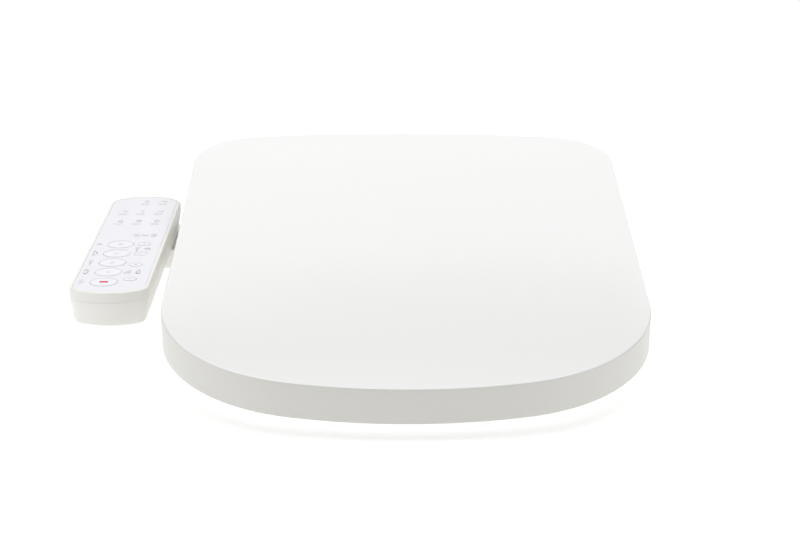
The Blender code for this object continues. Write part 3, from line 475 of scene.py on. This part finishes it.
def metal(name, colour, roughness, stretch):
    """Turned or drawn metal: its tool marks run across one axis."""
    look = bpy.data.materials.new(name)
    look.use_nodes = True
    tree = look.node_tree
    shader = tree.nodes["Principled BSDF"]
    shader.inputs["Base Color"].default_value = linear(colour)
    shader.inputs["Metallic"].default_value = 1
    place = add_node(tree, "ShaderNodeTexCoord").outputs["Object"]
    across = add_node(tree, "ShaderNodeMapping", links={"Vector": place})
    across.inputs["Scale"].default_value = stretch
    marks = add_node(tree, "ShaderNodeTexNoise", {"Scale": 900.0, "Detail": 2.0},
                     {"Vector": across.outputs["Vector"]})
    worn = add_node(tree, "ShaderNodeMapRange", {"To Min": roughness * 0.75, "To Max": roughness * 1.3},
                    {"Value": marks.outputs["Fac"]})
    tree.links.new(worn.outputs["Result"], shader.inputs["Roughness"])
    bump = add_node(tree, "ShaderNodeBump", {"Strength": 0.25, "Distance": 0.00002},
                    {"Height": marks.outputs["Fac"]})
    tree.links.new(bump.outputs["Normal"], shader.inputs["Normal"])
    return look


# Drawn stainless steel with fine marks round it, and turned brass.
stainless_steel = metal("stainless_steel", "#C9CACB", 0.28, (6, 1, 1))
turned_brass = metal("turned_brass", "#C9A35E", 0.3, (1, 1, 6))

for node in ("housing_base", "housing_cover"):
    finished_copy(node, satin_abs, 0.0008)
finished_copy("seat_bottom_cover", seat_resin, 0.0005)
for node in ("mounting_plate", "bolt_shoe_left", "bolt_shoe_right", "nozzle_cradle", "water_heater",
             "inlet_valve", "release_button"):
    finished_copy(node, filled_nylon, 0.0004)
for node in ("damper_left", "damper_right", "water_pump", "power_cord_gland"):
    finished_copy(node, black_nylon, 0.0004)
for node in ("hinge_pin_left", "hinge_pin_right", "nozzle_tube", "nozzle_motor", "pad_screw_1",
             "pad_screw_2"):
    finished_copy(node, stainless_steel, 0.0002)
for node in ("water_inlet_fitting", "drive_pinion"):
    finished_copy(node, turned_brass, 0.0002)
for node in [n for n in nodes if "bumper" in n or n.startswith("foot_")]:
    finished_copy(node, silicone_rubber, 0.0012, 3)
finished_copy("nozzle_tip", polished_polypropylene, 0.0008, 3)
for node in ("main_circuit_board", "pad_circuit_board"):
    finished_copy(node, circuit_board, 0.0002)
finished_copy("keypad_mat", silicone_rubber, 0.0003)
for node in [n for n in nodes if n.startswith("hose_")]:
    finished_copy(node, silicone_rubber, 0)
# The heater is a printed foil, hidden inside the ring.
nodes["seat_heater_sheet"].data.materials.clear()
nodes["seat_heater_sheet"].data.materials.append(stainless_steel)


# ---------------------------------------------------------------- control pad
# A long case of two mouldings with bowed ends and tighter corners, its sides drawn in a little underneath. A
# cream rim runs round a cool white face film. The neck that carries it comes out of the housing's side.
PAD_LOW, PAD_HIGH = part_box("pad_upper_case")
PAD_X, PAD_HALF_WIDTH = (PAD_LOW.x + PAD_HIGH.x) / 2, (PAD_HIGH.x - PAD_LOW.x) / 2
PAD_FRONT_Y, PAD_REAR_Y = PAD_LOW.y, PAD_HIGH.y
PAD_SPLIT, PAD_TOP = PAD_LOW.z, PAD_HIGH.z
PAD_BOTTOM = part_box("pad_lower_case")[0].z
PAD_FRONT_RADIUS, PAD_REAR_RADIUS, PAD_CORNER_RADIUS = 0.050, 0.038, 0.016
PAD_DRAFT, PAD_ROLL = 0.003, 0.0025
PAD_EDGE = 0.0016             # radius of the top edge
SEAM = 0.00012                # the fine step where the two mouldings meet
RIM = ((0.0028, 0.0001), (0.0030, 0.0014))   # the rim's inner edge: in from the side, below the top


def pad_end(radius):
    """How far in from a bowed end its corner's centre lies, and the angle where bow and corner meet."""
    corner_x = PAD_HALF_WIDTH - PAD_CORNER_RADIUS
    corner_y = radius - math.sqrt((radius - PAD_CORNER_RADIUS) ** 2 - corner_x ** 2)
    return corner_y, math.degrees(math.atan2(radius - corner_y, corner_x))


def pad_outline(inset):
    """A long strip whose bowed ends run into tighter corners."""
    front_in, front_meet = pad_end(PAD_FRONT_RADIUS)
    rear_in, rear_meet = pad_end(PAD_REAR_RADIUS)
    corner, corner_x = PAD_CORNER_RADIUS - inset, PAD_X + PAD_HALF_WIDTH - PAD_CORNER_RADIUS
    half = arc((PAD_X, PAD_FRONT_Y + PAD_FRONT_RADIUS), PAD_FRONT_RADIUS - inset, -90, -front_meet, 10)
    half += arc((corner_x, PAD_FRONT_Y + front_in), corner, -front_meet, 0, 24)[1:]
    half += arc((corner_x, PAD_REAR_Y - rear_in), corner, 0, rear_meet, 24)
    half += arc((PAD_X, PAD_REAR_Y - PAD_REAR_RADIUS), PAD_REAR_RADIUS - inset, rear_meet, 90, 10)[1:]
    return half + [(2 * PAD_X - x, y) for x, y in reversed(half[1:-1])]


def pad_shell(name, profile, look, node):
    """A pad moulding from (inset, height) stations, closed over its first and last."""
    work = bmesh.new()
    loops = loft(work, [[Vector((x, y, z)) for x, y in pad_outline(inset)] for inset, z in profile])
    work.faces.new(loops[0])
    work.faces.new(loops[-1])
    shell = mesh_piece(name, work)
    shell.data.materials.append(look)
    smooth(shell, 40)
    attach(shell, "base")
    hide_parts(node)
    return shell


# Cream satin ABS on the case, and a cool white printed film on its face.
cream_abs = plastic("cream_abs", "#F6F5F0", 0.32, 0.6, 0.3)
face_film = plastic("face_film", "#EFEFF4", 0.3, 0.8, 0.1, 0.01)
key_silicone = plastic("key_silicone", "#F4F4F9", 0.3, 0.6, 0.2, 0.01)

QUARTER = [math.radians(a) for a in (0, 22, 45, 67, 90)]
lower_roll = [(PAD_DRAFT + PAD_ROLL * (1 - math.sin(a)), PAD_BOTTOM + PAD_ROLL * (1 - math.cos(a)))
              for a in QUARTER]
pad_shell("pad_lower", [*lower_roll, (0, PAD_SPLIT - 2 * SEAM), (SEAM, PAD_SPLIT - SEAM / 2)],
          cream_abs, "pad_lower_case")
upper_roll = [(PAD_EDGE * (1 - math.cos(a)), PAD_TOP - PAD_EDGE * (1 - math.sin(a))) for a in QUARTER]
pad_shell("pad_upper", [(SEAM, PAD_SPLIT), (0, PAD_SPLIT + SEAM), *upper_roll,
                        *[(inset, PAD_TOP - down) for inset, down in RIM]],
          cream_abs, "pad_upper_case")
finished_copy("pad_neck", cream_abs, 0.002, 3)
finished_copy("pad_face_panel", face_film, 0.0002)


# ---------------------------------------------------------------- keys
# Round silicone keys, nearly flush with the film round them. Each has a rolled edge and a flat crown, and a
# flange under the film holds it in.
KEY_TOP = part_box("key_stop")[1].z
KEY_FLANGE = 0.0008           # the flange's reach past the key's hole
KEY_SNUG = 0.00018            # how much more of its hole the silicone fills
KEY_ROLL = ((0, 0.0007), (0.0002, 0.0003), (0.0008, 0.0001))   # (in from the edge, below the top)


def key_cap(node):
    """A round key with a rolled edge, at its CAD node's place."""
    low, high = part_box(node)
    centre = ((low.x + high.x) / 2, (low.y + high.y) / 2)
    radius = (high.x - low.x) / 2 - KEY_FLANGE + KEY_SNUG
    work = bmesh.new()
    rings = [(radius, low.z), *[(radius - inward, KEY_TOP - down) for inward, down in KEY_ROLL],
             (radius * 0.6, KEY_TOP), (radius * 0.1, KEY_TOP)]
    loops = loft(work, [[Vector((*p, z)) for p in arc(centre, r, 0, 360, 64)[:-1]] for r, z in rings])
    work.faces.new(loops[0])
    work.faces.new(loops[-1])
    cap = mesh_piece(node + "_cap", work)
    cap.data.materials.append(key_silicone)
    smooth(cap, 50)
    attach(cap, nodes[node]["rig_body"])
    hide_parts(node)
    return centre, radius


keys = {node: key_cap(node) for node in sorted(n for n in nodes if n.startswith("key_"))}


# ---------------------------------------------------------------- printing on the pad
# Pale grey ink on the film and the keys: a fine ring round each key, a mark in it and a generic picture
# beside it, and a grid of pictures behind the keys. The front key has a red square for stop.
INK_LIFT, INK_DEPTH = 0.00004, 0.00004
KEY_LINE, KEY_LINE_INSET = 0.00032, 0.0005   # the ring printed on a key: its width, and in from the edge
PANEL_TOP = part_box("pad_face_panel")[1].z


def ink(name, colour):
    """Screen-printed ink: flat, a little duller than the film under it."""
    look = bpy.data.materials.new(name)
    look.use_nodes = True
    tree = look.node_tree
    shader = tree.nodes["Principled BSDF"]
    shader.inputs["Roughness"].default_value = 0.5
    place = add_node(tree, "ShaderNodeTexCoord").outputs["Object"]
    speckle = add_node(tree, "ShaderNodeTexNoise", {"Scale": 3000.0, "Detail": 1.0}, {"Vector": place})
    thin = (*[min(1, c * 1.12) for c in linear(colour)[:3]], 1)
    tint = add_node(tree, "ShaderNodeMix", {"A": linear(colour), "B": thin},
                    {"Factor": speckle.outputs["Fac"]}, data_type="RGBA")
    tree.links.new(tint.outputs["Result"], shader.inputs["Base Color"])
    return look


grey_ink = ink("grey_ink", "#D2D2D9")
mid_ink = ink("mid_ink", "#C4C4CC")
dark_ink = ink("dark_ink", "#AEAEB6")
red_ink = ink("red_ink", "#D23A48")


def ring_tree():
    """A printed ring: a circle of ink with Radius to its middle line, Line wide and Depth thick."""
    tree = bpy.data.node_groups.new("printed_ring", "GeometryNodeTree")
    for label, kind in (("Radius", "NodeSocketFloat"), ("Line", "NodeSocketFloat"),
                        ("Depth", "NodeSocketFloat"), ("Ink", "NodeSocketMaterial")):
        tree.interface.new_socket(label, in_out="INPUT", socket_type=kind)
    tree.interface.new_socket("Geometry", in_out="OUTPUT", socket_type="NodeSocketGeometry")
    given = add_node(tree, "NodeGroupInput").outputs
    circle = add_node(tree, "GeometryNodeCurvePrimitiveCircle", {"Resolution": 72},
                      {"Radius": given["Radius"]})
    stroke = add_node(tree, "GeometryNodeCurvePrimitiveQuadrilateral",
                      links={"Width": given["Line"], "Height": given["Depth"]})
    swept = add_node(tree, "GeometryNodeCurveToMesh", links={"Curve": circle.outputs["Curve"],
                                                            "Profile Curve": stroke.outputs["Curve"]})
    whole = add_node(tree, "GeometryNodeRealizeInstances", links={"Geometry": swept.outputs["Mesh"]})
    inked = add_node(tree, "GeometryNodeSetMaterial", links={"Geometry": whole.outputs["Geometry"],
                                                            "Material": given["Ink"]})
    add_node(tree, "NodeGroupOutput", links={"Geometry": inked.outputs["Geometry"]})
    return tree


def grown(name, tree, values, place):
    """A plain mesh of what the node tree makes, moved to its place."""
    obj = bpy.data.objects.new(name, bpy.data.meshes.new(name))
    bpy.context.scene.collection.objects.link(obj)
    modifier = obj.modifiers.new(name, "NODES")
    modifier.node_group = tree
    for socket in tree.interface.items_tree:
        if socket.in_out == "INPUT" and socket.name in values:
            modifier[socket.identifier] = values[socket.name]
    settle(obj)
    obj.data.transform(place)
    return obj


printed_ring = ring_tree()
for node, (centre, radius) in keys.items():
    ring = grown(node + "_ring", printed_ring,
                 {"Radius": radius - KEY_LINE_INSET, "Line": KEY_LINE, "Depth": INK_DEPTH, "Ink": grey_ink},
                 Matrix.Translation((*centre, KEY_TOP + INK_LIFT)))
    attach(ring, nodes[node]["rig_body"])


def stroke(work, points, width, closed=False):
    """A flat line of ink through the points."""
    ends = list(zip(points, points[1:])) + ([(points[-1], points[0])] if closed else [])
    for one, other in ends:
        one, other = Vector(one), Vector(other)
        along = (other - one).normalized() * width / 2
        across = Vector((-along.y, along.x))
        corners = [one - along - across, other + along - across, other + along + across, one - along + across]
        work.faces.new([work.verts.new((*p, 0)) for p in corners])


def spot(work, centre, radius):
    work.faces.new([work.verts.new((*p, 0)) for p in arc(centre, radius, 0, 360, 14)[:-1]])


def jet_up(work):
    """A spray: three short lines fanning from a dot."""
    spot(work, (0, -1.5), 0.45)
    for x in (-1.2, 0, 1.2):
        stroke(work, [(x * 0.4, -0.6), (x, 1.4)], 0.3)


def wave(work):
    stroke(work, [(-1.8 + 0.3 * i, 0.6 * math.sin(i * 1.05)) for i in range(13)], 0.32)


def seat_mark(work):
    stroke(work, arc((0, 0), 1.4, 200, 520, 20), 0.32)


def drop(work):
    stroke(work, [(0, 1.7), *arc((0, -0.4), 1.1, 30, -210, 14)], 0.3, closed=True)


def bars(work):
    for i in range(4):
        stroke(work, [(-1.5 + i, -1.2), (-1.5 + i, -0.6 + 0.6 * i)], 0.42)


def minus(work):
    stroke(work, [(-1.0, 0), (1.0, 0)], 0.4)


def plus(work):
    stroke(work, [(-1.0, 0), (1.0, 0)], 0.4)
    stroke(work, [(0, -1.0), (0, 1.0)], 0.4)


def square(work):
    stroke(work, [(-0.9, 0), (0.9, 0)], 2.6)


def fan(work):
    for turn in (0, 120, 240):
        stroke(work, arc((0.9 * math.cos(math.radians(turn)), 0.9 * math.sin(math.radians(turn))), 0.7,
                         turn - 90, turn + 110, 8), 0.3)


def lamp_mark(work):
    spot(work, (0, 0), 0.55)
    for turn in range(0, 360, 60):
        stroke(work, arc((0, 0), 1.7, turn, turn + 30, 3), 0.28)


def caption(work):
    """A row of short strokes, standing in for a caption."""
    for x, tall in ((-1.7, 0.5), (-0.9, 0.8), (-0.1, 0.4), (0.7, 0.8), (1.5, 0.6)):
        stroke(work, [(x, -tall), (x, tall)], 0.42)


def printed(name, picture, place, size_mm, look, body, on_z, stretch=1.0):
    """One picture, drawn about 4 units across, as a skin of ink that may be stretched along the pad."""
    work = bmesh.new()
    picture(work)
    scale = size_mm / 4000
    bmesh.ops.transform(work, verts=work.verts, matrix=Matrix.Diagonal((scale, scale * stretch, 1, 1)))
    top = bmesh.ops.extrude_face_region(work, geom=list(work.faces))["geom"]
    raised = [v for v in top if isinstance(v, bmesh.types.BMVert)]
    bmesh.ops.translate(work, verts=raised, vec=(0, 0, INK_DEPTH))
    bmesh.ops.translate(work, verts=work.verts, vec=(*place, on_z + INK_LIFT))
    piece = mesh_piece(name, work)
    piece.data.materials.append(look)
    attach(piece, body)


KEY_MARK_MM, STOP_MM, ICON_MM, CAPTION_MM = 5.0, 6.4, 6.0, 8.0
BESIDE_X = PAD_X - 0.0246     # the column of pictures left of the large keys
PAIR_HALF_GAP = 0.0045        # between the two pictures of a pair of small keys
# how much longer along the pad each kind of picture is than across
TALL_STRETCH, SHORT_STRETCH, PAIR_STRETCH = 3.2, 2.2, 2.4
LABEL_STRETCH, GRID_STRETCH, CAPTION_STRETCH = 1.9, 1.5, 1.2
BIG_KEY_PICTURES = {"key_stop": square, "key_rear_wash": jet_up, "key_front_wash": drop, "key_dry": wave,
                    "key_massage": seat_mark}
BESIDE = {"key_stop": lamp_mark, "key_rear_wash": seat_mark, "key_front_wash": jet_up, "key_dry": fan,
          "key_massage": wave}
for node, (centre, radius) in keys.items():
    body = nodes[node]["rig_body"]
    if node in BIG_KEY_PICTURES:
        stop = node == "key_stop"
        size_mm, look = (STOP_MM, red_ink) if stop else (KEY_MARK_MM, grey_ink)
        printed(node + "_mark", BIG_KEY_PICTURES[node], centre, size_mm, look, body, KEY_TOP)
        tall = node not in ("key_stop", "key_massage")
        printed(node + "_beside", BESIDE[node], (BESIDE_X, centre[1] + 0.001), KEY_MARK_MM,
                dark_ink if tall else mid_ink, "base", PANEL_TOP,
                TALL_STRETCH if tall else SHORT_STRETCH)
    else:
        sign = minus if node in ("key_pressure_down", "key_position_front") else plus
        printed(node + "_mark", sign, centre, KEY_MARK_MM, dark_ink, body, KEY_TOP)
small_x = keys["key_pressure_up"][0][0]
for name, first, last, pictures in (("pressure", "key_pressure_down", "key_pressure_up", (bars, drop)),
                                    ("position", "key_position_front", "key_position_rear", (jet_up, wave))):
    middle = (keys[first][0][1] + keys[last][0][1]) / 2
    for side, picture in zip((-1, 1), pictures):
        printed(f"{name}_{picture.__name__}", picture, (small_x + side * PAIR_HALF_GAP, middle), ICON_MM,
                dark_ink, "base", PANEL_TOP, PAIR_STRETCH)
LABEL_Y = keys["key_massage"][0][1] + 0.029      # the row of marks just behind the keys
for i, picture in enumerate((lamp_mark, wave, seat_mark)):
    printed(f"label_{i}", picture, (small_x - 0.010 + 0.0075 * i, LABEL_Y), ICON_MM, mid_ink, "base",
            PANEL_TOP, LABEL_STRETCH)
GRID_COLUMNS = (-0.0155, 0.001, 0.0175)          # across, from the middle of the pad
GRID_ROWS = ((-0.074, (drop, seat_mark, fan)), (-0.040, (wave, jet_up, bars)), (-0.005, (None, drop, wave)))
for row, (y, pictures) in enumerate(GRID_ROWS):
    for column, (x, picture) in enumerate(zip(GRID_COLUMNS, pictures)):
        if picture is None:
            continue
        look = grey_ink if row == 0 and column == 0 else mid_ink
        printed(f"indicator_{row}_{column}", picture, (PAD_X + x, y + 0.004), ICON_MM, look, "base",
                PANEL_TOP, GRID_STRETCH)
        printed(f"caption_{row}_{column}", caption, (PAD_X + x - 0.001, y - 0.006), CAPTION_MM, look, "base",
                PANEL_TOP, CAPTION_STRETCH)


# ---------------------------------------------------------------- grip ribs on the release button
# Raised ribs moulded across the quick-release button, so that a wet thumb holds it. They are the button's own
# glass-filled nylon.
rib_tree = bpy.data.node_groups.new("grip_ribs", "GeometryNodeTree")
for label, kind in (("Count", "NodeSocketInt"), ("Pitch", "NodeSocketFloat"), ("Radius", "NodeSocketFloat"),
                    ("Length", "NodeSocketFloat"), ("Look", "NodeSocketMaterial")):
    rib_tree.interface.new_socket(label, in_out="INPUT", socket_type=kind)
rib_tree.interface.new_socket("Geometry", in_out="OUTPUT", socket_type="NodeSocketGeometry")
rib_given = add_node(rib_tree, "NodeGroupInput").outputs
rib_step = add_node(rib_tree, "ShaderNodeCombineXYZ", links={"Y": rib_given["Pitch"]})
rib_row = add_node(rib_tree, "GeometryNodeMeshLine",
                   links={"Count": rib_given["Count"], "Offset": rib_step.outputs[0]})
rib_shape = add_node(rib_tree, "GeometryNodeMeshCylinder", {"Vertices": 12},
                     {"Radius": rib_given["Radius"], "Depth": rib_given["Length"]})
rib_set = add_node(rib_tree, "GeometryNodeInstanceOnPoints", links={"Points": rib_row.outputs["Mesh"],
                                                                   "Instance": rib_shape.outputs["Mesh"]})
rib_whole = add_node(rib_tree, "GeometryNodeRealizeInstances",
                     links={"Geometry": rib_set.outputs["Instances"]})
rib_look = add_node(rib_tree, "GeometryNodeSetMaterial", links={"Geometry": rib_whole.outputs["Geometry"],
                                                               "Material": rib_given["Look"]})
add_node(rib_tree, "NodeGroupOutput", links={"Geometry": rib_look.outputs["Geometry"]})
button_low, button_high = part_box("release_button")
RIBS, RIB_PITCH, RIB_RADIUS, RIB_LENGTH = 7, 0.0026, 0.0005, 0.010
button_middle = (button_low + button_high) / 2
first_rib = (button_high.x, button_middle.y - (RIBS - 1) * RIB_PITCH / 2, button_middle.z)
ribs = grown("release_button_ribs", rib_tree,
             {"Count": RIBS, "Pitch": RIB_PITCH, "Radius": RIB_RADIUS, "Length": RIB_LENGTH,
              "Look": filled_nylon}, Matrix.Translation(first_rib))
smooth(ribs)
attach(ribs, "release")
